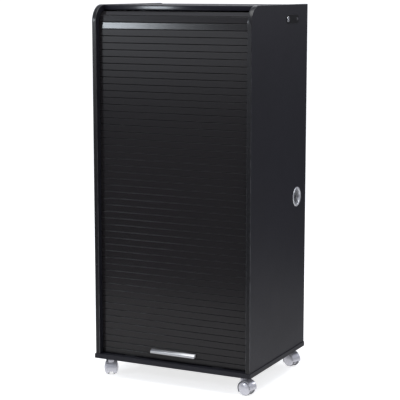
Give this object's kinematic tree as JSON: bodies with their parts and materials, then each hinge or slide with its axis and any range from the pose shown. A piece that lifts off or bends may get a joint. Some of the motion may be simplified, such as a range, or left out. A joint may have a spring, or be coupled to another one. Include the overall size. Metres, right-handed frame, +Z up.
{
  "type": "roller shutter cabinet",
  "caption": "Tall mobile office cabinet with a tambour roller shutter over its front, rounded front top corners, a side lock, a cable outlet and hooded twin-wheel castors.",
  "frame": {"origin": "on the floor, under the middle of the base panel", "axes": "+Z up, +X to the cabinet's right as seen from the front, +Y from the shutter to the back"},
  "size_m": [0.6067, 0.48, 1.3],
  "materials": {
    "black_laminate": "black melamine-faced board, fine pearl texture",
    "edge_strip": "black moulded edge strip, satin",
    "steel": "zinc plated",
    "beech": "plain beech",
    "shutter_plastic": "black extruded slats, semi-gloss",
    "satin_aluminium": "satin anodised",
    "pad_rubber": "soft black rubber",
    "black_metal": "black satin paint",
    "bright_chrome": "polished",
    "silver_ring": "bright satin",
    "castor_black": "black passivated steel",
    "castor_silver": "silver lacquered plastic",
    "tread": "dark grey soft tread"
  },
  "bodies": {
    "cabinet": {"base_panel": "black_laminate", "side_panel_left": "black_laminate", "side_panel_right": "black_laminate", "top_panel": "black_laminate", "inner_top_panel": "black_laminate", "back_panel": "black_laminate", "inner_back_panel": "black_laminate", "shelf_lower": "black_laminate", "shelf_upper": "black_laminate", "edging_left": "edge_strip", "edging_right": "edge_strip", "shelf_pins": "steel", "carcass_screws": "steel", "castor_screws": "steel", "carcass_dowels": "beech", "shutter_slats_bend": "shutter_plastic", "shutter_slats_top": "shutter_plastic", "shutter_tail_bar": "satin_aluminium", "rail_pads": "pad_rubber", "lock_escutcheon": "black_metal", "lock_barrel": "bright_chrome", "escutcheon_screw": "bright_chrome", "lock_nut": "bright_chrome", "grommet_ring": "silver_ring", "castor_plate_front_left": "castor_black", "castor_plate_front_right": "castor_black", "castor_plate_rear_right": "castor_black", "castor_plate_rear_left": "castor_black"},
    "shutter": {"shutter_bottom_rail": "shutter_plastic", "shutter_slats": "shutter_plastic", "shutter_handle": "satin_aluminium", "handle_screws": "steel"},
    "lock_core": {"lock_plug": "bright_chrome", "lock_cam": "steel", "cam_screw": "steel"},
    "castor_front_left": {"castor_hood_front_left": "castor_silver", "castor_axle_front_left": "steel"},
    "wheel_front_left_a": {"wheel_hub_front_left_a": "castor_silver", "wheel_tyre_front_left_a": "tread"},
    "wheel_front_left_b": {"wheel_hub_front_left_b": "castor_silver", "wheel_tyre_front_left_b": "tread"},
    "castor_front_right": {"castor_hood_front_right": "castor_silver", "castor_axle_front_right": "steel"},
    "wheel_front_right_a": {"wheel_hub_front_right_a": "castor_silver", "wheel_tyre_front_right_a": "tread"},
    "wheel_front_right_b": {"wheel_hub_front_right_b": "castor_silver", "wheel_tyre_front_right_b": "tread"},
    "castor_rear_right": {"castor_hood_rear_right": "castor_silver", "castor_axle_rear_right": "steel"},
    "wheel_rear_right_a": {"wheel_hub_rear_right_a": "castor_silver", "wheel_tyre_rear_right_a": "tread"},
    "wheel_rear_right_b": {"wheel_hub_rear_right_b": "castor_silver", "wheel_tyre_rear_right_b": "tread"},
    "castor_rear_left": {"castor_hood_rear_left": "castor_silver", "castor_axle_rear_left": "steel"},
    "wheel_rear_left_a": {"wheel_hub_rear_left_a": "castor_silver", "wheel_tyre_rear_left_a": "tread"},
    "wheel_rear_left_b": {"wheel_hub_rear_left_b": "castor_silver", "wheel_tyre_rear_left_b": "tread"}
  },
  "joints": [
    {"name": "shutter_lift", "type": "slide", "parent": "cabinet", "child": "shutter", "axis": [0, 0, 1], "range_m": [0, 1.109], "deforming": ["shutter_slats"]},
    {"name": "lock_turn", "type": "hinge", "parent": "cabinet", "child": "lock_core", "pos_m": [0.281, 0.063, 1.25], "axis": [1, 0, 0], "range_deg": [0, 90]},
    {"name": "swivel_front_left", "type": "hinge", "parent": "cabinet", "child": "castor_front_left", "pos_m": [-0.258, -0.198, 0.0585], "axis": [0, 0, 1], "continuous": true},
    {"name": "roll_front_left_a", "type": "hinge", "parent": "castor_front_left", "child": "wheel_front_left_a", "pos_m": [-0.26436, -0.18553, 0.025], "axis": [-0.891, -0.454, 0], "continuous": true},
    {"name": "roll_front_left_b", "type": "hinge", "parent": "castor_front_left", "child": "wheel_front_left_b", "pos_m": [-0.26436, -0.18553, 0.025], "axis": [-0.891, -0.454, 0], "continuous": true},
    {"name": "swivel_front_right", "type": "hinge", "parent": "cabinet", "child": "castor_front_right", "pos_m": [0.258, -0.198, 0.0585], "axis": [0, 0, 1], "continuous": true},
    {"name": "roll_front_right_a", "type": "hinge", "parent": "castor_front_right", "child": "wheel_front_right_a", "pos_m": [0.27163, -0.20122, 0.025], "axis": [0.23, 0.9732, 0], "continuous": true},
    {"name": "roll_front_right_b", "type": "hinge", "parent": "castor_front_right", "child": "wheel_front_right_b", "pos_m": [0.27163, -0.20122, 0.025], "axis": [0.23, 0.9732, 0], "continuous": true},
    {"name": "swivel_rear_right", "type": "hinge", "parent": "cabinet", "child": "castor_rear_right", "pos_m": [0.258, 0.198, 0.0585], "axis": [0, 0, 1], "continuous": true},
    {"name": "roll_rear_right_a", "type": "hinge", "parent": "castor_rear_right", "child": "wheel_rear_right_a", "pos_m": [0.27064, 0.19197, 0.025], "axis": [0.4305, 0.9026, 0], "continuous": true},
    {"name": "roll_rear_right_b", "type": "hinge", "parent": "castor_rear_right", "child": "wheel_rear_right_b", "pos_m": [0.27064, 0.19197, 0.025], "axis": [0.4305, 0.9026, 0], "continuous": true},
    {"name": "swivel_rear_left", "type": "hinge", "parent": "cabinet", "child": "castor_rear_left", "pos_m": [-0.258, 0.198, 0.0585], "axis": [0, 0, 1], "continuous": true},
    {"name": "roll_rear_left_a", "type": "hinge", "parent": "castor_rear_left", "child": "wheel_rear_left_a", "pos_m": [-0.27012, 0.205, 0.025], "axis": [-0.5, -0.866, 0], "continuous": true},
    {"name": "roll_rear_left_b", "type": "hinge", "parent": "castor_rear_left", "child": "wheel_rear_left_b", "pos_m": [-0.27012, 0.205, 0.025], "axis": [-0.5, -0.866, 0], "continuous": true}
  ]
}
